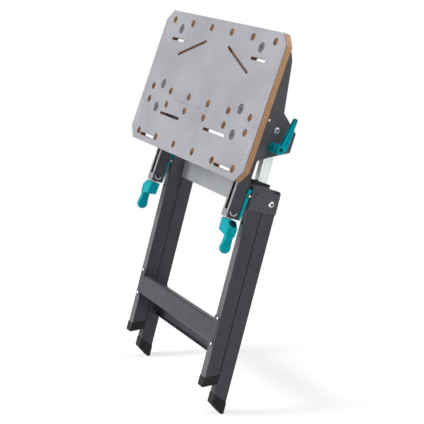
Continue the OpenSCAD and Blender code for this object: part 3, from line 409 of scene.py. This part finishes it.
ink_t, ink_x = 0.3, leg_x + cheek + 0.1
pointer_r, pointer_y, pointer_z, stretched = 3, 90.5, -215, 2.2
dot_r, dot_y, dot_z = 1.6, 88, -224
quarter = math.radians(90)
bpy.ops.object.select_all(action="DESELECT")
bpy.ops.mesh.primitive_cylinder_add(
    vertices=3, radius=pointer_r * mm, depth=ink_t * mm, rotation=(quarter, 0, quarter),
    location=(ink_x * mm, pointer_y * mm, pointer_z * mm)
)
pointer = bpy.context.object
pointer.name = "head_pointer"
bpy.ops.transform.resize(value=(1, stretched, 1), center_override=pointer.location)
bpy.ops.mesh.primitive_cylinder_add(
    vertices=20, radius=dot_r * mm, depth=ink_t * mm, rotation=(0, quarter, 0),
    location=(ink_x * mm, dot_y * mm, dot_z * mm)
)
dot = bpy.context.object
only(pointer, dot)
bpy.ops.object.join()
settle(pointer, leg)
break_edges(pointer, width=0.08, steps=1)
dress(black, pointer)
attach(pointer, "base")

# Guide caps and plugs
# Moulded black caps close the mouths of the front legs and guide the tubes. Smaller
# plugs are pressed into the rear corners of the heads.
for node in sides("guide_cap") + sides("head_plug"):
    soften(from_solid(node), black, width=0.9, steps=3)

# Hinge bolts
# Zinc-plated bolts with a round washer head and a socket. The rear legs turn on them.
hinge_head = 255
bright = finish_for(
    "bright_steel", (0.62, 0.62, 0.64), (0.8, 0.8, 0.82), patch=300, rough=(0.22, 0.38), grain=1100,
    depth=0.08, metal=0.85, specks=((0.3, 0.3, 0.31), 0.5)
)
# Near black for the insides of sockets, dimples and holes: painted shade.
painted_socket_shade = finish_for(
    "socket_lining_painted_shade", (0.01, 0.01, 0.011), (0.02, 0.02, 0.022), patch=300, rough=(0.5, 0.7),
    grain=1500, depth=0.1
)


def sink(piece, place, face, rim, depth, lining=None):
    """Sink a socket or dimple into the faces that pass the test."""
    only(piece)
    bpy.ops.object.mode_set(mode="EDIT")
    pick(piece, place, face=face)
    bpy.ops.mesh.inset(thickness=rim * mm, use_individual=True)
    bpy.ops.mesh.extrude_region_shrink_fatten(TRANSFORM_OT_shrink_fatten={"value": -depth * mm})
    if lining:
        shape = bmesh.from_edit_mesh(piece.data)
        for f in shape.faces:
            if f.select:
                f.material_index = 1
        bmesh.update_edit_mesh(piece.data)
    bpy.ops.object.mode_set(mode="OBJECT")
    if lining:
        piece.data.materials.append(lining)


def fasteners(node, face, rim, depth, width=0, angle=50):
    """Bright bolts or rivets, with painted shade lining the socket or dimple in each head."""
    group = from_solid(node)
    dress(bright, group)
    sink(group, leg, face, rim, depth, painted_socket_shade)
    if width:
        break_edges(group, width)
    polish(group, angle)


fasteners(
    "hinge_bolts", lambda c, n: same(abs(c.x), hinge_head), rim=1.7, depth=2.4, width=0.25, angle=40
)

# Cross panel
# A C-shaped sheet between the heads, coated in a paler grey than the legs. Two rivets hold
# each end of it, and its front is plain.
panel_rivet_head = 218.4
panel_coat = finish_for(
    "panel_coat", (0.33, 0.34, 0.355), (0.39, 0.4, 0.415), patch=14, rough=(0.3, 0.46), grain=1500,
    depth=0.2, specks=((0.5, 0.5, 0.51), 0.4)
)
soften(from_solid("cross_panel"), panel_coat, width=0.5, steps=3)
fasteners("panel_rivets", lambda c, n: same(abs(c.x), panel_rivet_head), rim=0.5, depth=0.5)

# Front brace
# A folded sheet across the front of the legs. Its tabs lie on the leg faces under
# domed blind rivets, which have a dimple in the middle.
rivet_out = 2
front_rivet_head = head_front - rivet_out
soften(from_solid("front_brace"), coat, width=0.35)
fasteners("front_brace_rivets", lambda c, n: same(c.y, front_rivet_head), rim=0.7, depth=0.6)

# Front feet
# Rubber caps pushed over the ends of the legs, with soles cut level with the floor.
rubber = finish_for(
    "foot_rubber", (0.012, 0.012, 0.014), (0.021, 0.021, 0.023), patch=70, rough=(0.5, 0.72),
    grain=1300, depth=0.35, gloss=0.2, specks=((0.06, 0.058, 0.055), 0.4)
)
sole_facing, sole_rim, sole_depth = 0.99, 3, 1.0
for node in sides("front_foot"):
    foot = from_solid(node)
    sink(foot, Matrix(), lambda c, n: n.z < -sole_facing, sole_rim, sole_depth)
    soften(foot, rubber, width=0.9, steps=3)

# Rear legs
# Tubes like the front ones with a round top, which turns on a plastic bush. Folded, they
# lie close behind the front legs.
hinge_y, hinge_z = 140.75, -234
rear_w, rear_back, rear_bend, rear_step = 25.4, 160, 0.9, 20


def on_rear_outline(point):
    """Whether a point is on the rear side or the round top of a rear leg."""
    if point.z < hinge_z + near:
        return same(point.y, rear_back)
    return same(math.hypot(point.y - hinge_y, point.z - hinge_z), rear_back - hinge_y)


for node in sides("rear_leg"):
    tube = from_solid(node)
    round_edges(tube, leg, lambda a, b: (
        abs(abs(a.x) - leg_x) > rear_w / 2 - near and same(a.x, b.x) and abs(a.y - b.y) < rear_step
        and on_rear_outline(a) and on_rear_outline(b)
    ), rear_bend)
    polish(tube)
    dress(coat, tube)
dress(black, *sides("rear_bush"))

# Rear brace
# A taller folded sheet on the rear faces of the rear legs, riveted like the front one.
rear_rivet_head = rear_back + sheet + rivet_out
soften(from_solid("rear_brace"), coat, width=0.35)
fasteners("rear_brace_rivets", lambda c, n: same(c.y, rear_rivet_head), rim=0.7, depth=0.6)

# Rear feet
# Rubber caps with slanted soles, so that they lie flat once the legs are swung out.
for node in sides("rear_foot"):
    soften(from_solid(node), rubber, width=1.1, steps=3)

# Extension tubes
# Galvanised tubes that slide in the front legs, with latch holes in front, a groove
# down each side and a plastic shoe inside the leg.
tube_x, tube_w, tube_front, tube_back, tube_bend, tube_edge = 235, 19, 89.5, 117.5, 1.8, 5
zinc = finish_for(
    "zinc", (0.72, 0.76, 0.76), (0.84, 0.88, 0.88), patch=40, rough=(0.24, 0.42), grain=900,
    depth=0.08, metal=0.75, stretch=(1, 1, 0.12), specks=((0.5, 0.52, 0.53), 0.4)
)
for node in sides("extension_tube"):
    tube = from_solid(node)
    round_edges(tube, leg, lambda a, b: (
        runs_along(a, b, tube_x, tube_w, [tube_front, tube_back], tube_edge)
    ), tube_bend)
    polish(tube)
    dress(zinc, tube)
dress(black, *sides("tube_shoe"))

# Pivot and clamp bolts
# The top tilts on the pivot bolts, which have a washer head with a socket lined in painted
# shade. The clamp bolts end inside the hubs of the levers.
pivot_head = 252.3
fasteners(
    "pivot_bolts", lambda c, n: same(abs(c.x), pivot_head), rim=2.0, depth=1.6, width=0.25, angle=40
)
oxide = finish_for(
    "black_oxide", (0.012, 0.012, 0.013), (0.03, 0.03, 0.032), patch=300, rough=(0.4, 0.6),
    grain=1100, depth=0.08, gloss=0.3
)
dress(oxide, "clamp_bolts")

# Latch levers
# Moulded levers on pins in front of the heads. A tongue on each enters a hole in the tube
# and holds the height.
teal = finish_for(
    "teal_plastic", (0.0, 0.37, 0.44), (0.0, 0.44, 0.51), patch=45, rough=(0.28, 0.42), grain=1500,
    depth=0.2, gloss=0.08, specks=((0.01, 0.45, 0.56), 0.35)
)
for node in sides("latch_lever"):
    soften(from_solid(node), teal, width=1.4, steps=3)
dress(bright, "latch_pins")

# Clamp rails
# C-shaped steel channels under the boards. Their front faces are painted a lighter grey,
# which is painted light. A white half ring lies in a groove low on each side; it stands for
# a bright bare edge, with its highlight painted in white.
face_angle = 5
top = leg @ Matrix.Rotation(math.radians(90 - face_angle), 4, "X")
rail_x, rail_w, rail_front, rail_rear, rail_bend, rail_edge = 230, 30, -51, -85, 1.8, 20
rail_low, rail_high, lip_depth, past_end = -283, 154, 0.6, 2
rail_n = (rail_front + rail_rear) / 2
# A lighter finish for the rails' front faces: painted light, standing for the lamps' light on them.
painted_light_lip = finish_for(
    "painted_light_rail_front", (0.22, 0.22, 0.23), (0.31, 0.31, 0.32), patch=90, rough=(0.26, 0.42),
    grain=1300, depth=0.12, metal=0.2, stretch=(1, 0.3, 1), specks=((0.3, 0.3, 0.31), 0.6)
)
for node in sides("clamp_rail"):
    rail = from_solid(node)
    round_edges(rail, top, lambda a, b: (
        abs(abs(a.x) - rail_x) > rail_w / 2 - near and same(a.x, b.x) and same(a.z, b.z)
        and abs(a.y - b.y) > rail_edge and (same(a.z, rail_front) or same(a.z, rail_rear))
    ), rail_bend)
    dress(coat, rail)
    # The front faces get the lighter finish, which is painted light.
    dress_part(painted_light_lip, rail, top, lambda c, n: (
        c.z > rail_front - lip_depth and rail_low - past_end < c.y < rail_high + past_end
    ))
    polish(rail)
dress(black, *sides("rail_end"))

# White for the bright bare edge of each groove, with its highlight painted into the colour.
bright_edge_painted_highlight = finish_for(
    "bright_edge_painted_highlight", (0.88, 0.88, 0.89), (0.96, 0.96, 0.97), patch=200, rough=(0.4, 0.55), grain=1500,
    depth=0.05
)
bow_in, bow_out, bow_t, bow_v, bow_cut, groove = 8.5, 10.5, 0.5, -266, 0.8, 0.6
bow_off = rail_w / 2 - groove + bow_t / 2


def white_bow(name, x):
    """A white half ring, open to the top, in its shallow groove on a rail's side."""
    bpy.ops.object.select_all(action="DESELECT")
    bpy.ops.mesh.primitive_circle_add(vertices=64, radius=bow_in * mm, rotation=(0, quarter, 0))
    bow = bpy.context.object
    bow.name = name
    bpy.ops.object.transform_apply(location=False, rotation=True, scale=False)
    bpy.ops.object.mode_set(mode="EDIT")
    bpy.ops.mesh.select_all(action="SELECT")
    bpy.ops.mesh.extrude_region_move()
    bpy.ops.transform.resize(value=(bow_out / bow_in,) * 3, center_override=(0, 0, 0))
    bpy.ops.mesh.select_all(action="SELECT")
    bpy.ops.mesh.bisect(plane_co=(0, -bow_cut * mm, 0), plane_no=(0, 1, 0), clear_outer=True)
    bpy.ops.mesh.select_all(action="SELECT")
    bpy.ops.mesh.normals_make_consistent(inside=False)
    bpy.ops.object.mode_set(mode="OBJECT")
    thick = bow.modifiers.new("thick", "SOLIDIFY")
    thick.thickness = bow_t * mm
    thick.offset = 0
    bpy.ops.object.modifier_apply(modifier=thick.name)
    settle(bow, top @ Matrix.Translation((x * mm, bow_v * mm, rail_n * mm)))
    dress(bright_edge_painted_highlight, bow)
    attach(bow, "table")


for side, name in ((-1, "left"), (1, "right")):
    white_bow("rail_mark_outer_" + name, side * (rail_x + bow_off))
    white_bow("rail_mark_inner_" + name, side * (rail_x - bow_off))

# Tilt ears
# Steel plates riveted to the outer sides of the rails. They widen below to carry the
# pivot and the curved slot of the clamp bolt.
ear_rivet_head = 249.1
for node in sides("tilt_ear"):
    soften(from_solid(node), light_coat, width=0.5)
fasteners("ear_rivets", lambda c, n: same(abs(c.x), ear_rivet_head), rim=0.5, depth=0.5)

# Spacers, carriages and screws
# Black blocks hold the fixed board off the rails. The movable one stands on carriages,
# which slide in the rails as nuts of the spindles. Screws from above hold both boards.
dress(black, *sides("spacer_upper"), *sides("spacer_lower"), *sides("jaw_carriage"))
dress(bright, "fixed_screws", "movable_screws", "rail_nuts")

# Jaw boards
# Two boards of pressed wood fibre with a thin grey laminate on both faces. The cut
# edges and the walls of the holes stay bare and brown, and the walls of the holes and of
# the seam are painted a lighter brown, which is painted light.
top_t, glue_half, bare_half = 18, 8.9, 7.7
dog_count, dog_pitch, dog_rows, dog_r = 6, 115, (162, -31, -69.5, -162), 10
dog_columns = [dog_pitch * (k - (dog_count - 1) / 2) for k in range(dog_count)]
seam_v, seam_half, upright = -50.25, 0.3, 0.1
slant = math.radians(lean + face_angle)
face_out = Vector((0, -math.cos(slant), math.sin(slant)))
face_level = Vector(face_middle).dot(face_out)
board = finish_for(
    "board", (0.315, 0.315, 0.345), (0.38, 0.38, 0.41), patch=9, rough=(0.38, 0.5), grain=900,
    depth=0.05, metal=0.12, specks=((0.5, 0.5, 0.53), 0.25)
)
nodes, links = board.node_tree.nodes, board.node_tree.links
shader = nodes["Principled BSDF"]
laminate = shader.inputs["Base Color"].links[0].from_socket
where = nodes.new("ShaderNodeTexCoord")
chips = nodes.new("ShaderNodeTexNoise")
chips.inputs["Scale"].default_value = 420
chips.inputs["Detail"].default_value = 6.0
chips.inputs["Roughness"].default_value = 0.7
links.new(where.outputs["Object"], chips.inputs["Vector"])
fibre = nodes.new("ShaderNodeValToRGB")
fibre.name = "fibre"
fibre.color_ramp.elements[0].position = 0.36
fibre.color_ramp.elements[0].color = (0.27, 0.12, 0.05, 1)
fibre.color_ramp.elements[1].position = 0.66
fibre.color_ramp.elements[1].color = (0.62, 0.36, 0.19, 1)
links.new(chips.outputs["Fac"], fibre.inputs["Fac"])


def level_band(half):
    """One inside a band about the middle of the board's thickness."""
    band = nodes.new("ShaderNodeMath")
    band.operation = "COMPARE"
    band.inputs[1].default_value = face_level - top_t / 2 * mm
    band.inputs[2].default_value = half * mm
    links.new(height.outputs["Value"], band.inputs[0])
    return band.outputs[0]


height = nodes.new("ShaderNodeVectorMath")
height.operation = "DOT_PRODUCT"
height.inputs[1].default_value = face_out
links.new(where.outputs["Object"], height.inputs[0])
glue = nodes.new("ShaderNodeMix")
glue.data_type = "RGBA"
glue.inputs["B"].default_value = (0.05, 0.03, 0.02, 1)
links.new(level_band(glue_half), glue.inputs["Factor"])
links.new(laminate, glue.inputs["A"])
skin = nodes.new("ShaderNodeMix")
skin.data_type = "RGBA"
links.new(level_band(bare_half), skin.inputs["Factor"])
links.new(glue.outputs["Result"], skin.inputs["A"])
links.new(fibre.outputs["Color"], skin.inputs["B"])
links.new(skin.outputs["Result"], shader.inputs["Base Color"])
# A lighter copy of the board for the walls of the holes and the seam: painted light, standing for light
# that reaches into them.
bore_painted_light = board.copy()
bore_painted_light.name = "board_bore_painted_light"
lighter_fibre = bore_painted_light.node_tree.nodes["fibre"].color_ramp.elements
lighter_fibre[0].color = (0.4, 0.2, 0.1, 1)
lighter_fibre[1].color = (0.93, 0.65, 0.42, 1)


def hole_or_seam_wall(c, n):
    """Whether a face is the wall of a dog hole or of the seam between the boards."""
    column = min(dog_columns, key=lambda x: abs(x - c.x))
    row = min(dog_rows, key=lambda v: abs(v - c.y))
    in_hole = math.hypot(c.x - column, c.y - row) < dog_r + near
    return abs(n.z) < upright and (in_hole or abs(c.y - seam_v) < seam_half)


for node in ("fixed_jaw", "movable_jaw"):
    jaw = from_solid(node)
    soften(jaw, board, width=0.3)
    # The hole and seam walls get the lighter fibre, which is painted light.
    dress_part(bore_painted_light, jaw, top, hole_or_seam_wall)

# Screw covers
# Grey moulded discs pressed into the boards over the screws, each with a rim, radial ribs
# and a small hole in its middle.
cover_grey = finish_for(
    "cover_plastic", (0.19, 0.195, 0.205), (0.24, 0.245, 0.255), patch=80, rough=(0.36, 0.52),
    grain=1500, depth=0.15, gloss=0.3, specks=((0.24, 0.24, 0.25), 0.3)
)
# Near black for the outer part and rim of each disc and for its hub: painted shade, standing for the
# shadowed gap round the disc and its dark middle.
cover_rim_painted_shade = finish_for(
    "cover_rim_painted_shade", (0.03, 0.031, 0.034), (0.045, 0.046, 0.05), patch=80, rough=(0.5, 0.7), grain=1500,
    depth=0.15, gloss=0.2
)
cover_r, cover_t, cover_in, cover_border, dish = 13, 2.8, 0.2, 1.5, 1.0
ribs, rib_l, rib_w, rib_h, rib_r = 12, 8.5, 1.5, 0.9, 7.75
hub_r, hub_h, hub_border, hub_hole, middle_z = 4, 1.4, 1.9, 1.1, -0.9
fixed_rows, movable_rows = (141, -18), (-84.5,)


def screw_cover(x, v):
    """One ribbed disc, made face up about its own middle and then let into the board."""
    bpy.ops.object.select_all(action="DESELECT")
    bpy.ops.mesh.primitive_cylinder_add(
        vertices=ribs * 4, radius=cover_r * mm, depth=cover_t * mm,
        location=(0, 0, -(cover_t / 2 + cover_in) * mm)
    )
    disc = bpy.context.object
    bpy.ops.object.transform_apply(location=True, rotation=False, scale=False)
    disc.data.materials.append(cover_rim_painted_shade)
    sink(disc, Matrix(), lambda c, n: n.z > facing, cover_border, dish, cover_grey)
    break_edges(disc, width=0.3)
    bpy.ops.object.select_all(action="DESELECT")
    bpy.ops.mesh.primitive_cylinder_add(
        vertices=24, radius=hub_r * mm, depth=hub_h * mm, location=(0, 0, middle_z * mm)
    )
    hub = bpy.context.object
    bpy.ops.object.transform_apply(location=True, rotation=False, scale=False)
    hub.data.materials.append(cover_rim_painted_shade)
    # The hub's hole is lined with painted shade.
    sink(hub, Matrix(), lambda c, n: n.z > facing, hub_border, hub_hole, painted_socket_shade)
    pieces = [disc, hub]
    for k in range(ribs):
        bpy.ops.object.select_all(action="DESELECT")
        bpy.ops.mesh.primitive_cube_add(size=1)
        rib = bpy.context.object
        rib.scale = (rib_l * mm, rib_w * mm, rib_h * mm)
        rib.location = (rib_r * mm, 0, middle_z * mm)
        bpy.ops.object.transform_apply(location=True, rotation=False, scale=True)
        rib.rotation_euler = (0, 0, 2 * math.pi * k / ribs)
        bpy.ops.object.transform_apply(location=False, rotation=True, scale=False)
        rib.data.materials.append(cover_grey)
        break_edges(rib, width=0.2, steps=1)
        pieces.append(rib)
    only(*pieces)
    bpy.ops.object.join()
    settle(disc, top @ Matrix.Translation((x * mm, v * mm, 0)))
    return disc


for node, rows in (("fixed_covers", fixed_rows), ("movable_covers", movable_rows)):
    discs = [screw_cover(side * rail_x, v) for v in rows for side in (-1, 1)]
    only(*discs)
    bpy.ops.object.join()
    discs[0].name = node + "_made"
    polish(discs[0], angle=30)
    stand_for(discs[0], node)

# Printed scales
# Plain white ticks at both ends of the movable jaw and an arc of dots above the seam. They
# are printed in thin ink on the laminate.
plate_t, plate_rise = 0.12, 0.05
tick_end, tick_start, tick_step, tick_w = 330, -84, 7, 1.4
short_tick, long_tick, long_every, ticks_a_side = 6, 12, 4, 9
arc_r, arc_middle, arc_from, arc_step, dots, dot_w = 68, -32, -60, 15, 9, 2.2
faint_print = finish_for(
    "faint_print", (0.7, 0.7, 0.72), (0.8, 0.8, 0.82), patch=200, rough=(0.4, 0.55), grain=1500,
    depth=0.05
)


def print_marks(name, marks, rider):
    """Thin plates of ink, one for each place, length and turn."""
    plates = []
    for x, v, length, width, turned in marks:
        bpy.ops.object.select_all(action="DESELECT")
        bpy.ops.mesh.primitive_cube_add(size=1)
        plate = bpy.context.object
        plate.scale = (length * mm, width * mm, plate_t * mm)
        bpy.ops.object.transform_apply(location=False, rotation=False, scale=True)
        spot = Matrix.Translation((x * mm, v * mm, plate_rise * mm))
        settle(plate, top @ spot @ Matrix.Rotation(turned, 4, "Z"))
        plates.append(plate)
    only(*plates)
    bpy.ops.object.join()
    plates[0].name = name
    break_edges(plates[0], width=0.02, steps=1)
    dress(faint_print, plates[0])
    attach(plates[0], rider)


for side, name in ((-1, "left"), (1, "right")):
    ticks = []
    for k in range(ticks_a_side):
        length = short_tick if k % long_every else long_tick
        ticks.append((side * (tick_end - length / 2), tick_start - k * tick_step, length, tick_w, 0))
    print_marks("tick_scale_" + name, ticks, "sliding_jaw")
arc = []
for k in range(dots):
    swing = math.radians(arc_from + arc_step * k)
    arc.append((arc_r * math.sin(swing), arc_r * math.cos(swing) + arc_middle, dot_w, dot_w, swing))
print_marks("dot_arc", arc, "table")

# Spindles
# Threaded steel rods in the rails, with a collar inside the end plug. Each turns in the
# nut of its carriage and carries a crank below.
rod_low, thread_low, rod_high, lead = -313, -262, -60, 5
root_r, crest_r, collar_r, collar_low, collar_high = 4.9, 6, 9, -272.7, -269.7
root_lap, crest_lap = 1, 1.5
tooth = [(root_r, 0), (crest_r, 1.6), (crest_r, 3.0), (root_r, 4.6), (root_r, lead)]


def spindle(node, x):
    """A rod whose thread is one tooth's outline, drawn from a point and screwed along the rod."""
    bpy.ops.object.select_all(action="DESELECT")
    bpy.ops.mesh.primitive_plane_add(size=mm)
    thread = bpy.context.object
    thread.name = node + "_made"
    bpy.ops.object.mode_set(mode="EDIT")
    bpy.ops.mesh.select_mode(type="VERT")
    bpy.ops.mesh.select_all(action="SELECT")
    bpy.ops.mesh.merge(type="CENTER")
    bpy.ops.transform.translate(value=(root_r * mm, 0, 0))
    for (r, z), (next_r, next_z) in zip(tooth, tooth[1:]):
        step = ((next_r - r) * mm, 0, (next_z - z) * mm)
        bpy.ops.mesh.extrude_vertices_move(TRANSFORM_OT_translate={"value": step})
    bpy.ops.object.mode_set(mode="OBJECT")
    only(thread)
    wind = thread.modifiers.new("wind", "SCREW")
    wind.axis = "Z"
    wind.screw_offset = lead * mm
    wind.iterations = int((rod_high - thread_low) / lead)
    wind.steps = 20
    wind.render_steps = 20
    wind.use_merge_vertices = True
    wind.merge_threshold = 0.00001
    bpy.ops.object.modifier_apply(modifier=wind.name)
    bpy.ops.object.mode_set(mode="EDIT")
    bpy.ops.mesh.select_all(action="SELECT")
    bpy.ops.mesh.remove_doubles(threshold=0.00001)
    bpy.ops.mesh.fill_holes(sides=0)
    bpy.ops.mesh.normals_make_consistent(inside=False)
    bpy.ops.object.mode_set(mode="OBJECT")
    thread.location = (0, 0, thread_low * mm)
    bpy.ops.object.transform_apply(location=True, rotation=False, scale=False)
    rods = [thread]
    for r, low, high in (
        (root_r, thread_low - root_lap, rod_high), (crest_r, rod_low, thread_low + crest_lap),
        (collar_r, collar_low, collar_high)
    ):
        bpy.ops.mesh.primitive_cylinder_add(
            vertices=40, radius=r * mm, depth=(high - low) * mm, location=(0, 0, (high + low) / 2 * mm)
        )
        rod = bpy.context.object
        bpy.ops.object.transform_apply(location=True, rotation=False, scale=False)
        break_edges(rod, width=0.5)
        rods.append(rod)
    only(*rods)
    bpy.ops.object.join()
    settle(thread, top @ Matrix.Translation((x * mm, 0, rail_n * mm)) @ Matrix.Rotation(-quarter, 4, "X"))
    polish(thread, angle=40)
    dress(bright, thread)
    stand_for(thread, node)


spindle("spindle_left", -rail_x)
spindle("spindle_right", rail_x)

# Cranks
# Moulded teal cranks on the spindles, with large soft edges. A recess sinks into the
# slanted upper corner, and a paddle grip hangs below a neck.
paddle_in, paddle_out, paddle_bend, neck_v = 251.5, 265.5, 5.5, -328
block_front, block_rear, block_bend, voxel = -54, -82, 3.5, 0.8
recess_x, recess_v, recess_r, recess_deep, recess_rim = 259, -294, 10.6, 7.5, 0.8
# A dark teal for the recess in each crank: painted shade.
recess_shade = finish_for(
    "recess_painted_shade", (0.0, 0.045, 0.06), (0.0, 0.065, 0.08), patch=60, rough=(0.4, 0.55), grain=1500,
    depth=0.2, gloss=0.08
)


def in_recess(c, n):
    """Whether a face lines the round recess in the slanted corner of a crank."""
    slope = Vector((math.copysign(1, c.x), 1, 0)).normalized()
    off = c - Vector((math.copysign(recess_x, c.x), recess_v, rail_n))
    along = off.dot(slope)
    return -recess_deep < along < -recess_rim and (off - slope * along).length < recess_r


for node in sides("crank"):
    crank = from_solid(node)
    round_edges(crank, top, lambda a, b: (
        min(a.y, b.y) < neck_v and same(a.x, b.x)
        and (same(abs(a.x), paddle_in) or same(abs(a.x), paddle_out))
    ), paddle_bend, steps=4)
    round_edges(crank, top, lambda a, b: (
        max(a.y, b.y) > neck_v and same(a.z, b.z) and (same(a.z, block_front) or same(a.z, block_rear))
    ), block_bend)
    only(crank)
    skin = crank.modifiers.new("skin", "REMESH")
    skin.mode = "VOXEL"
    skin.voxel_size = voxel * mm
    bpy.ops.object.modifier_apply(modifier=skin.name)
    soft = crank.modifiers.new("soft", "SMOOTH")
    soft.factor = 0.5
    soft.iterations = 3
    bpy.ops.object.modifier_apply(modifier=soft.name)
    dress(teal, crank)
    # The recess faces get the painted shade.
    dress_part(recess_shade, crank, top, in_recess)
    only(crank)
    bpy.ops.object.shade_smooth()

# Tilt levers
# Clamp levers on the outer sides of the ears: a ribbed hub, a boss with a six-sided
# recess, and a slim arm with a groove.
arm_in, arm_out, arm_bend, arm_low = 275.96, 287.84, 0.9, -80
for node in sides("tilt_lever"):
    lever = from_solid(node)
    round_edges(lever, leg, lambda a, b: (
        same(a.x, b.x) and (same(abs(a.x), arm_in) or same(abs(a.x), arm_out)) and min(a.z, b.z) > arm_low
    ), arm_bend)
    polish(lever)
    dress(teal, lever)
